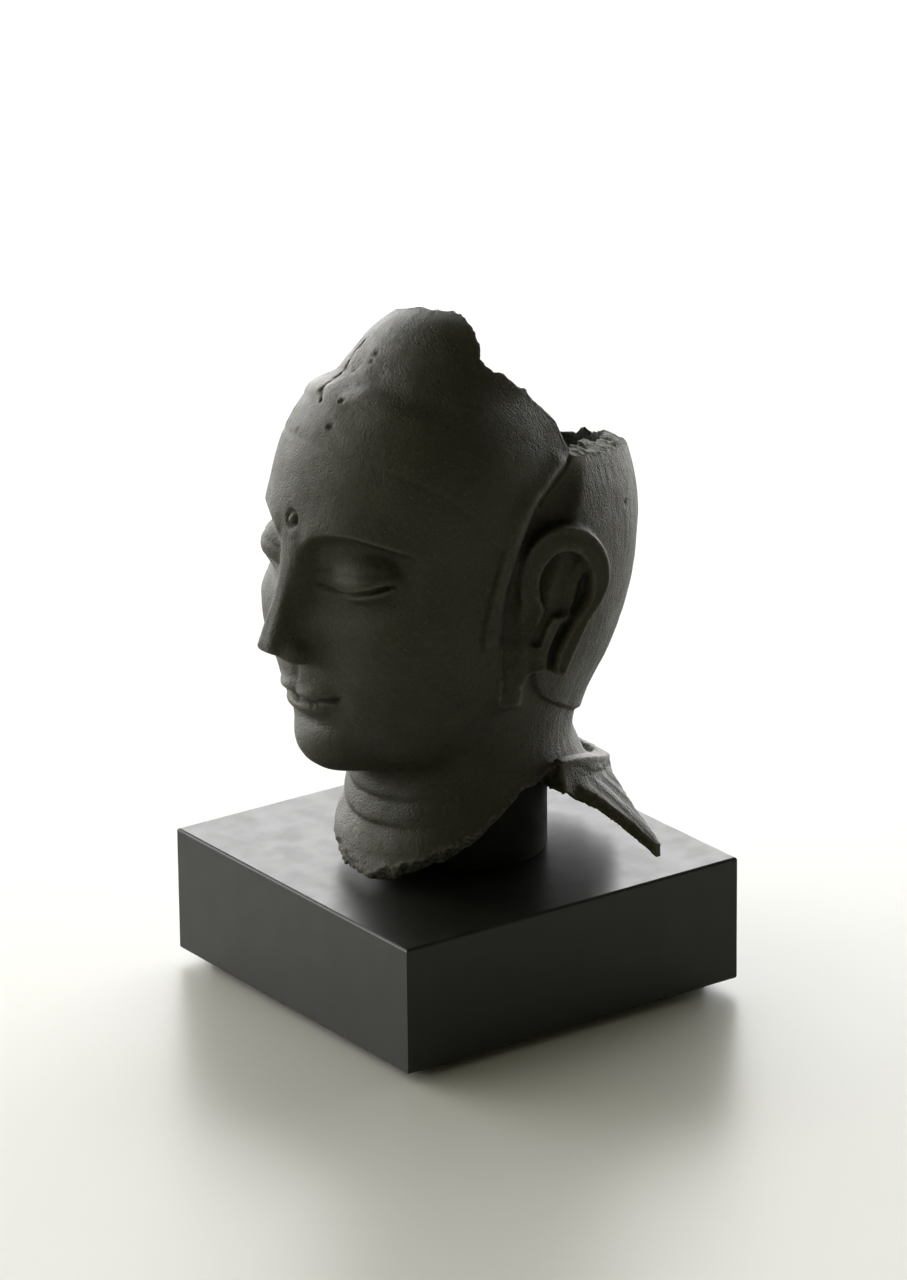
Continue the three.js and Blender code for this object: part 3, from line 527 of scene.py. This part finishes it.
def masked(values, mask, function, *points):
    """Replaces the values under a mask by a function of the points there."""
    result = values.copy()
    if mask.any():
        result[mask] = function(*[p[mask] for p in points])
    return result


def outer_skin(x, y, z, bare):
    """The bare head with its face, hair edge and neck folds."""
    near = np.abs(bare) < 50
    front = near & (y < -20) & (z < 170) & (z > -12)
    skin = masked(bare, front, carved_face, x, y, z, bare)
    return skin - hair_layer(x, y, z) + neck_folds(x, y, z)


def head_parts(x, y, z):
    """The metal with its neck broken off, its hollow, and what is lost at the crown and at the neck."""
    bare = bare_head(x, y, z)
    skin = outer_skin(x, y, z, bare)
    hollow = np.maximum(bare + WALL, skin + 0.8 * WALL)
    hollow = hollow + 0.5 * grain(x, y, z, 9, 51) + 0.3 * grain(x, y, z, 4, 52)
    hollow = carve(hollow, throat_ledge(x, y, z), 2)
    relief = masked(np.zeros(len(x)), np.abs(skin) < 8, fine_relief, x, y, z)
    skin = skin + relief
    beside = (np.abs(x) > 40) & (z > 30) & (z < 150)
    ears = masked(np.full((len(x), 2), FAR), beside, ear_masses, x, y, z)
    soft_front = 1.5 + 4.5 * smooth_step((4 - y) / 16)
    metal = join(join(skin, ears[:, 1], 8), ears[:, 0], soft_front)
    metal = carve(metal, neck_loss(x, y, z, skin), 0.6)
    robe = masked(np.full(len(x), FAR), z < 20, robe_mass, x, y, z)
    return join(metal, robe, 3), hollow, crown_loss(x, y, z, skin), neck_loss(x, y, z, skin)


def head_field(points):
    """The whole head: negative in the metal, positive outside it."""
    x, y, z = points.T
    metal, hollow, lost, _ = head_parts(x, y, z)
    metal = carve(metal, hollow, 2)
    metal = carve(metal, lost, 0.6)
    metal = np.maximum(metal, TOP + NECK_LIFT - z)
    return np.maximum(metal, -post_seat(x, y, z))


# Surface of a field: a point in each cell that it crosses, and a face across each crossed edge
CORNERS = np.array([[i & 1, (i >> 1) & 1, (i >> 2) & 1] for i in range(8)])
EDGES = [(i, i | step) for i in range(8) for step in (1, 2, 4) if not i & step]


def patches(chosen):
    left, count = set(chosen), 0
    while left:
        opened = [left.pop()]
        count += 1
        while opened:
            corner = opened.pop()
            for step in (1, 2, 4):
                if corner ^ step in left:
                    left.remove(corner ^ step)
                    opened.append(corner ^ step)
    return count


def is_simple(signs):
    """A cell is simple where metal and air are one patch each, in the cell and on each of its faces."""
    filled = [i for i in range(8) if signs & (1 << i)]
    empty = [i for i in range(8) if not signs & (1 << i)]
    simple = patches(filled) <= 1 and patches(empty) <= 1
    for axis in (1, 2, 4):
        for side in (0, axis):
            on_face = [i for i in filled if (i & axis) == side]
            simple = simple and not (len(on_face) == 2 and (on_face[0] ^ on_face[1] ^ 7) == axis)
    return simple


SIMPLE = np.array([is_simple(signs) for signs in range(256)])


def evaluate(field, points, chunk=200000):
    return np.concatenate([field(points[i : i + chunk]) for i in range(0, len(points), chunk)])


def sample_grid(field, low, high, step, block=4):
    """The field on a grid, filled in by blocks: far from the surface one value stands for a block."""
    blocks = [int(math.ceil((high[k] - low[k]) / step / block)) for k in range(3)]
    index = np.stack(np.meshgrid(*[np.arange(n) for n in blocks], indexing="ij"), -1).reshape(-1, 3)
    middle = np.array(low) + (index * block + block / 2) * step
    near = evaluate(field, middle)
    values = near.reshape(blocks).astype(np.float32)
    for axis in range(3):
        values = np.repeat(values, block, axis=axis)
    close = index[np.abs(near) < block * step * 1.25]
    inner = np.stack(np.meshgrid(*[np.arange(block)] * 3, indexing="ij"), -1).reshape(-1, 3)
    cells = (close[:, None, :] * block + inner[None, :, :]).reshape(-1, 3)
    exact = evaluate(field, np.array(low) + cells * step)
    values[cells[:, 0], cells[:, 1], cells[:, 2]] = exact
    return values


def cell_signs(values):
    inside = values < 0
    nx, ny, nz = values.shape
    signs = np.zeros((nx - 1, ny - 1, nz - 1), np.uint8)
    for i, (a, b, c) in enumerate(CORNERS):
        corner = inside[a : nx - 1 + a, b : ny - 1 + b, c : nz - 1 + c]
        signs |= corner.astype(np.uint8) << i
    return signs


def surface(field, low, high, step):
    values = sample_grid(field, low, high, step)
    for _ in range(20):
        cells = np.argwhere(~SIMPLE[cell_signs(values)])
        if not len(cells):
            break
        spots = cells[:, None, :] + CORNERS[None, :, :]
        found = values[spots[..., 0], spots[..., 1], spots[..., 2]]
        nearest = np.where(found >= 0, found, np.inf).argmin(axis=1)
        fill = spots[np.arange(len(cells)), nearest]
        values[fill[:, 0], fill[:, 1], fill[:, 2]] = -0.05 * step
    signs = cell_signs(values)
    cells = np.argwhere((signs != 0) & (signs != 255))
    spots = cells[:, None, :] + CORNERS[None, :, :]
    found = values[spots[..., 0], spots[..., 1], spots[..., 2]].astype(float)
    total = np.zeros((len(cells), 3))
    crossed = np.zeros(len(cells))
    for start, end in EDGES:
        change = (found[:, start] < 0) != (found[:, end] < 0)
        run = found[:, start] - found[:, end]
        share = np.where(change, found[:, start] / np.where(change, run, 1), 0)
        point = CORNERS[start] + share[:, None] * (CORNERS[end] - CORNERS[start])
        total += point * change[:, None]
        crossed += change
    points = np.array(low) + (cells + total / crossed[:, None]) * step
    number = np.full(signs.shape, -1, np.int64)
    number[cells[:, 0], cells[:, 1], cells[:, 2]] = np.arange(len(cells))
    quads = []
    inside = values < 0
    for axis in range(3):
        b, c = np.eye(3, dtype=int)[(axis + 1) % 3], np.eye(3, dtype=int)[(axis + 2) % 3]
        ahead = np.take(inside, range(1, inside.shape[axis]), axis=axis)
        here = np.take(inside, range(inside.shape[axis] - 1), axis=axis)
        at = np.argwhere(here != ahead)
        at = at[(at > 0).all(axis=1) & (at < np.array(signs.shape)).all(axis=1)]
        quad = np.stack([number[tuple((at - shift).T)] for shift in (b + c, c, 0 * b, b)], axis=1)
        outward = here[tuple(at.T)]
        quads.append(np.where(outward[:, None], quad, quad[:, ::-1]))
    quads = np.concatenate(quads)
    return settle(field, points, step), quads[(quads >= 0).all(axis=1)]


def slope_of(field, points, reach):
    ahead = [evaluate(field, points + reach * np.eye(3)[k]) for k in range(3)]
    behind = [evaluate(field, points - reach * np.eye(3)[k]) for k in range(3)]
    return (np.stack(ahead, axis=1) - np.stack(behind, axis=1)) / (2 * reach)


def settle(field, points, step):
    """Moves each point onto the surface along the field's slope, by no more than a third of a cell."""
    value = evaluate(field, points)
    slope = slope_of(field, points, step * 0.2)
    steep = np.maximum((slope * slope).sum(axis=1), 0.2)
    return points - np.clip((value / steep)[:, None] * slope, -step / 3, step / 3)


def largest_shell(points, quads):
    label = np.arange(len(points))
    pairs = np.concatenate([quads[:, [0, 1]], quads[:, [1, 2]], quads[:, [2, 3]]])
    while True:
        low = np.minimum(label[pairs[:, 0]], label[pairs[:, 1]])
        fresh = label.copy()
        np.minimum.at(fresh, pairs[:, 0], low)
        np.minimum.at(fresh, pairs[:, 1], low)
        fresh = fresh[fresh]
        if (fresh == label).all():
            break
        label = fresh
    names, counts = np.unique(label, return_counts=True)
    keep = label == names[counts.argmax()]
    renumber = np.cumsum(keep) - 1
    return points[keep], renumber[quads[keep[quads[:, 0]]]]


def new_mesh(name, points, faces):
    mesh = bpy.data.meshes.new(name)
    mesh.vertices.add(len(points))
    mesh.vertices.foreach_set("co", np.asarray(points, np.float32).ravel())
    corners = faces.shape[1]
    mesh.loops.add(faces.size)
    mesh.loops.foreach_set("vertex_index", faces.astype(np.int32).ravel())
    mesh.polygons.add(len(faces))
    mesh.polygons.foreach_set("loop_start", np.arange(0, faces.size, corners, dtype=np.int32))
    mesh.update(calc_edges=True)
    mesh.validate()
    return mesh


def new_object(name, mesh):
    made = bpy.data.objects.new(name, mesh)
    bpy.context.scene.collection.objects.link(made)
    return made


def vertex_places(mesh):
    places = np.zeros(len(mesh.vertices) * 3, np.float32)
    mesh.vertices.foreach_get("co", places)
    return places.reshape(-1, 3).astype(float)


def put_attribute(mesh, name, values):
    attribute = mesh.attributes.new(name, "FLOAT", "POINT")
    attribute.data.foreach_set("value", np.asarray(values, np.float32))


# Corners of the region that holds the head, and the reach of the marks that its material reads
REGION_LOW = (-98, -126, TOP - 4)
REGION_HIGH = (108, 112, 252)
BREAK_REACH = 0.8
NECK_BREAK_TOP = TOP + 60
HOLLOW_REACH = 1.5
CREST_REACH = 2.2
RECESS_REACH = 6.5


def mean_nearby(places, reach):
    """The field's mean in the six directions at this reach, as a share of it."""
    directions = np.vstack([np.eye(3), -np.eye(3)])
    return sum(evaluate(head_field, places + reach * d) for d in directions) / 6 / reach


def make_head():
    points, quads = surface(head_field, REGION_LOW, REGION_HIGH, STEP)
    points, quads = largest_shell(points, quads)
    rough = new_object("head_rough", new_mesh("head_rough", points, quads))
    thinned = rough.modifiers.new("fewer", "DECIMATE")
    thinned.ratio = min(1.0, TRIANGLES / (2 * len(quads)))
    thinned.use_collapse_triangulate = True
    graph = bpy.context.evaluated_depsgraph_get()
    mesh = bpy.data.meshes.new_from_object(rough.evaluated_get(graph))
    bpy.data.objects.remove(rough)
    places = vertex_places(mesh)
    x, y, z = places.T
    _, hollow, lost, neck_lost = head_parts(x, y, z)
    broken = bell(lost / BREAK_REACH) + bell(neck_lost / BREAK_REACH) * (z < NECK_BREAK_TOP)
    put_attribute(mesh, "broken", clamp01(broken))
    put_attribute(mesh, "hollow", smooth_step(1 - np.abs(hollow) / HOLLOW_REACH))
    # Crest: positive on ridges, where the material paints a lighter colour that is partly wear and partly
    # painted highlight, and negative in creases, where it paints shade
    put_attribute(mesh, "crest", np.clip(mean_nearby(places, CREST_REACH), -1, 1))
    # Recess: how deep the surface lies among its surroundings, where the material paints shade
    put_attribute(mesh, "shaded_recess", np.clip(-mean_nearby(places, RECESS_REACH), 0, 1))
    places = places * PART + np.array([0, 0, CHIN_HEIGHT])
    low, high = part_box("head")
    places = np.clip(places, np.array(low), np.array(high))
    mesh.vertices.foreach_set("co", places.astype(np.float32).ravel())
    mesh.polygons.foreach_set("use_smooth", np.ones(len(mesh.polygons), bool))
    mesh.update()
    mesh.name = "bronze_head"
    return new_object("bronze_head", mesh)


def make_post():
    """The round post, turned from its profile; rings close to each edge keep the shading crisp."""
    radius = (post_high.x - post_low.x) / 2
    low, high = post_low.z, post_high.z
    edge, support = POST_EDGE, EDGE_SUPPORT
    shoulder = high - POST_CHAMFER
    profile = [
        (radius - edge - support, low), (radius - edge, low), (radius, low + edge),
        (radius, low + edge + support), (radius, shoulder - support), (radius, shoulder),
        (radius - POST_CHAMFER, high), (radius - POST_CHAMFER - support, high),
    ]
    turn = np.arange(POST_SIDES) * 2 * math.pi / POST_SIDES
    middle = NECK_AXIS * PART
    points = [(r * math.sin(t), middle + r * math.cos(t), z) for r, z in profile for t in turn]
    top = (len(profile) - 1) * POST_SIDES
    faces = [tuple(range(POST_SIDES)), tuple(range(top + POST_SIDES - 1, top - 1, -1))]
    for here in range(0, top, POST_SIDES):
        above = here + POST_SIDES
        for i in range(POST_SIDES):
            ahead = (i + 1) % POST_SIDES
            faces.append((here + ahead, here + i, above + i, above + ahead))
    mesh = bpy.data.meshes.new("black_post")
    mesh.from_pydata(points, [], faces)
    mesh.polygons.foreach_set("use_smooth", np.ones(len(mesh.polygons), bool))
    return new_object("black_post", mesh)


# Materials
class Tree:
    """A node tree that is built with one short call for each node."""

    def __init__(self, owner):
        owner.use_nodes = True
        self.tree = owner.node_tree
        self.tree.nodes.clear()

    def feed(self, socket, value):
        if isinstance(value, bpy.types.NodeSocket):
            self.tree.links.new(value, socket)
        else:
            socket.default_value = value

    def math(self, operation, a, b):
        node = self.tree.nodes.new("ShaderNodeMath")
        node.operation = operation
        for socket, value in zip(node.inputs, (a, b)):
            self.feed(socket, value)
        return node.outputs[0]

    def ramp(self, value, low, high, start=0.0, end=1.0):
        node = self.tree.nodes.new("ShaderNodeMapRange")
        node.interpolation_type = "SMOOTHSTEP"
        for socket, number in zip(node.inputs, (value, low, high, start, end)):
            self.feed(socket, number)
        return node.outputs[0]

    def mix(self, share, a, b):
        node = self.tree.nodes.new("ShaderNodeMix")
        node.data_type = "RGBA"
        self.feed(node.inputs["Factor"], share)
        self.feed(node.inputs["A"], a if isinstance(a, bpy.types.NodeSocket) else (*a, 1))
        self.feed(node.inputs["B"], b if isinstance(b, bpy.types.NodeSocket) else (*b, 1))
        return node.outputs["Result"]


class Nodes(Tree):
    """A material's node tree."""

    def __init__(self, name):
        self.material = bpy.data.materials.new(name)
        super().__init__(self.material)
        output = self.tree.nodes.new("ShaderNodeOutputMaterial")
        self.shader = self.tree.nodes.new("ShaderNodeBsdfPrincipled")
        self.tree.links.new(self.shader.outputs[0], output.inputs[0])
        self.place = self.tree.nodes.new("ShaderNodeTexCoord").outputs["Object"]

    def stretched(self, scale):
        node = self.tree.nodes.new("ShaderNodeMapping")
        self.feed(node.inputs["Vector"], self.place)
        node.inputs["Scale"].default_value = scale
        return node.outputs[0]

    def noise(self, scale, detail=3.0, roughness=0.55, place=None):
        node = self.tree.nodes.new("ShaderNodeTexNoise")
        self.feed(node.inputs["Vector"], place or self.place)
        node.inputs["Scale"].default_value = scale
        node.inputs["Detail"].default_value = detail
        node.inputs["Roughness"].default_value = roughness
        return node.outputs["Fac"]

    def speckle(self, scale):
        node = self.tree.nodes.new("ShaderNodeTexVoronoi")
        self.feed(node.inputs["Vector"], self.place)
        node.inputs["Scale"].default_value = scale
        return node.outputs["Distance"]

    def attribute(self, name):
        node = self.tree.nodes.new("ShaderNodeAttribute")
        node.attribute_name = name
        return node.outputs["Fac"]

    def bump(self, height, distance, strength=1.0, below=None):
        node = self.tree.nodes.new("ShaderNodeBump")
        self.feed(node.inputs["Height"], height)
        node.inputs["Distance"].default_value = distance
        node.inputs["Strength"].default_value = strength
        if below is not None:
            self.feed(node.inputs["Normal"], below)
        return node.outputs[0]

    def surface(self, **sockets):
        for name, value in sockets.items():
            self.feed(self.shader.inputs[name.replace("_", " ")], value)
        return self.material


# Linear colours of the bronze: pairs are the ends of a range
PATINA = ((0.027, 0.0262, 0.0145), (0.040, 0.0375, 0.0205))
OLIVE_MOTTLE = (0.056, 0.051, 0.029)
DARK_STREAK = (0.019, 0.019, 0.013)
# Lighter colour on ridges and edges: partly wear, partly a painted highlight where edges catch the light
WORN_CREST_AND_PAINTED_HIGHLIGHT = (0.105, 0.096, 0.060)
# Painted shade in creases
CREASE_PAINTED_SHADE = (0.013, 0.013, 0.009)
# Painted shade in recesses
RECESS_PAINTED_SHADE = (0.011, 0.011, 0.008)
LIGHT_SPECK = (0.088, 0.081, 0.052)
DARK_SPECK = (0.012, 0.012, 0.008)
BROKEN_METAL = ((0.040, 0.041, 0.033), (0.200, 0.195, 0.155))
HOLLOW_INSIDE = ((0.040, 0.044, 0.036), (0.075, 0.090, 0.074))


def bronze_material():
    n = Nodes("bronze_patina")
    broken = n.attribute("broken")
    hollow = n.attribute("hollow")
    crest = n.attribute("crest")
    shaded_recess = n.attribute("shaded_recess")
    clouds = n.noise(22, 4, 0.6)
    mottle = n.noise(90, 5, 0.65)
    fine = n.noise(520, 4, 0.7)
    streaks = n.noise(260, 3, 0.6, n.stretched((1, 1, 0.12)))
    colour = n.mix(n.ramp(clouds, 0.35, 0.7), *PATINA)
    colour = n.mix(n.ramp(mottle, 0.45, 0.75, 0, 0.6), colour, OLIVE_MOTTLE)
    colour = n.mix(n.ramp(streaks, 0.5, 0.8, 0, 0.3), colour, DARK_STREAK)
    # Ridges and edges lighter: partly wear, partly painted highlight
    colour = n.mix(n.ramp(crest, 0.03, 0.24, 0, 0.65), colour, WORN_CREST_AND_PAINTED_HIGHLIGHT)
    # Creases darker: painted shade
    colour = n.mix(n.ramp(crest, -0.04, -0.3, 0, 0.75), colour, CREASE_PAINTED_SHADE)
    # Recesses darker: painted shade
    colour = n.mix(n.ramp(shaded_recess, 0.06, 0.45, 0, 0.7), colour, RECESS_PAINTED_SHADE)
    colour = n.mix(n.ramp(fine, 0.55, 0.70, 0, 0.5), colour, LIGHT_SPECK)
    colour = n.mix(n.ramp(fine, 0.44, 0.30, 0, 0.45), colour, DARK_SPECK)
    grit = n.mix(n.ramp(fine, 0.35, 0.65), *BROKEN_METAL)
    colour = n.mix(broken, colour, grit)
    inner = n.mix(n.ramp(mottle, 0.4, 0.7), *HOLLOW_INSIDE)
    colour = n.mix(n.math("MULTIPLY", hollow, 0.85), colour, inner)
    rough = n.math("ADD", n.ramp(mottle, 0.3, 0.7, 0.40, 0.54), n.math("MULTIPLY", broken, 0.22))
    rough = n.math("ADD", rough, n.math("MULTIPLY", hollow, 0.15))
    pits = n.ramp(n.speckle(430), 0.05, 0.4)
    pits_share = n.math("MULTIPLY", n.ramp(n.noise(60, 2), 0.42, 0.62), n.math("SUBTRACT", pits, 1.0))
    height = n.math("ADD", n.math("MULTIPLY", fine, 0.55), n.math("MULTIPLY", mottle, 0.8))
    height = n.math("ADD", height, n.math("MULTIPLY", streaks, 0.3))
    height = n.math("ADD", height, n.math("MULTIPLY", pits_share, 0.5))
    normal = n.bump(height, 0.0009, 0.8)
    normal = n.bump(n.noise(900, 3, 0.75), 0.0008, 0.9, normal)
    coarse = n.math("MULTIPLY", n.noise(480, 5, 0.75), n.math("MAXIMUM", broken, hollow))
    normal = n.bump(coarse, 0.0022, 0.8, normal)
    return n.surface(Base_Color=colour, Roughness=rough, Metallic=0.25, Normal=normal)


def black_material(name, gloss_low, gloss_high, specular):
    n = Nodes(name)
    clouds = n.noise(30, 3)
    film = n.noise(900, 3, 0.6)
    colour = n.mix(n.ramp(clouds, 0.35, 0.7), (0.0070, 0.0070, 0.0052), (0.0095, 0.0095, 0.0072))
    dust = n.ramp(n.speckle(95), 0.018, 0.012)
    here = n.math("MULTIPLY", dust, n.ramp(n.noise(55, 1), 0.56, 0.62))
    colour = n.mix(n.math("MULTIPLY", here, 0.6), colour, (0.10, 0.10, 0.085))
    rough = n.ramp(n.noise(70, 4), 0.3, 0.7, gloss_low, gloss_high)
    height = n.math("ADD", film, n.math("MULTIPLY", clouds, 1.5))
    normal = n.bump(height, 0.00008, 0.35)
    return n.surface(Base_Color=colour, Roughness=rough, Normal=normal, Specular_IOR_Level=specular)


def floor_material():
    n = Nodes("pale_floor")
    clouds = n.noise(1.5, 2)
    colour = n.mix(clouds, (0.84, 0.835, 0.80), (0.86, 0.855, 0.825))
    rough = n.ramp(n.noise(4, 2), 0.3, 0.7, 0.34, 0.37)
    return n.surface(Base_Color=colour, Roughness=rough)


# The photo's view: degrees, pixels of the 907 by 1280 frame, and metres
VIEW_TURN = math.radians(54.70)
VIEW_RISE = math.radians(19.87)
VIEW_ROLL = math.radians(-0.61)
FOCAL_PIXELS = 6575
LONG_SIDE = 1280
DISTANCE = 3.4385
AIM_RIGHT = 1.7
AIM_UP = 202.6


def view_axes():
    back = Vector((
        math.sin(VIEW_TURN) * math.cos(VIEW_RISE),
        -math.cos(VIEW_TURN) * math.cos(VIEW_RISE),
        math.sin(VIEW_RISE),
    ))
    right = (-back).cross(Vector((0, 0, 1))).normalized()
    up = right.cross(-back)
    c, s = math.cos(VIEW_ROLL), math.sin(VIEW_ROLL)
    return right * c + up * s, up * c - right * s, back


def make_camera():
    right, up, back = view_axes()
    target = Vector((0, 0, PLINTH_TOP))
    shift = right * (AIM_RIGHT * DISTANCE / FOCAL_PIXELS) - up * (AIM_UP * DISTANCE / FOCAL_PIXELS)
    place = target + back * DISTANCE - shift
    data = bpy.data.cameras.new("camera")
    data.sensor_width = 36
    data.lens = FOCAL_PIXELS / LONG_SIDE * data.sensor_width
    data.clip_end = 200
    camera = bpy.data.objects.new("camera", data)
    turn = Matrix((right, up, back)).transposed().to_4x4()
    camera.matrix_world = Matrix.Translation(place) @ turn
    bpy.context.scene.collection.objects.link(camera)
    bpy.context.scene.camera = camera


def make_floor():
    half = 40
    corners = np.array([[-half, -half, 0], [half, -half, 0], [half, half, 0], [-half, half, 0]], float)
    floor = new_object("floor", new_mesh("floor", corners, np.array([[0, 1, 2, 3]])))
    floor.data.materials.append(floor_material())


# Studio light: the screen's middle is turned to the view's left of straight behind the object
SCREEN_TURN = math.radians(8)
SCREEN_LIGHT = (7.1, 7.1, 7.1)
SCREEN_EDGE = (0.06, 0.66)
SCREEN_TOP = (0.27, 0.57)
SIDE_TURN = math.radians(84)
SIDE_RISE = math.radians(26)
SIDE_EDGE = (0.68, 0.96)
SIDE_LIGHT = (1.10, 1.08, 0.91)
AIR_LIGHT = (0.076, 0.076, 0.043)


def make_sky():
    """Soft studio light: a wide bright screen low behind the object, and dim warm air elsewhere."""
    world = bpy.data.worlds.new("studio")
    bpy.context.scene.world = world
    n = Tree(world)
    output = n.tree.nodes.new("ShaderNodeOutputWorld")
    background = n.tree.nodes.new("ShaderNodeBackground")
    n.feed(output.inputs[0], background.outputs[0])
    direction = n.tree.nodes.new("ShaderNodeTexCoord").outputs["Generated"]

    def along(axis):
        node = n.tree.nodes.new("ShaderNodeVectorMath")
        node.operation = "DOT_PRODUCT"
        n.feed(node.inputs[0], direction)
        n.feed(node.inputs[1], axis)
        return node.outputs["Value"]

    def toward(turn, rise=0.0):
        across = math.cos(rise)
        return (-math.sin(VIEW_TURN + turn) * across, math.cos(VIEW_TURN + turn) * across, math.sin(rise))

    side = n.ramp(along(toward(SIDE_TURN, SIDE_RISE)), *SIDE_EDGE)
    behind = n.ramp(along(toward(SCREEN_TURN)), *SCREEN_EDGE)
    low = n.ramp(along((0, 0, 1)), *SCREEN_TOP, 1, 0)
    light = n.mix(n.math("MULTIPLY", behind, low), n.mix(side, AIR_LIGHT, SIDE_LIGHT), SCREEN_LIGHT)
    n.feed(background.inputs["Color"], light)


def main():
    make_camera()
    make_floor()
    make_sky()
    bpy.context.scene.view_settings.view_transform = "Standard"
    head = make_head()
    head.data.materials.clear()
    head.data.materials.append(bronze_material())
    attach(head, "root")
    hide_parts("head")
    black = black_material("satin_black", 0.33, 0.40, 0.5)
    post = make_post()
    post.data.materials.append(black_material("matt_black", 0.58, 0.66, 0.16))
    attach(post, "root")
    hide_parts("post")
    for name in ("plinth", "plinth_foot"):
        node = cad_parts[name]
        node.data.materials.clear()
        node.data.materials.append(black)


main()
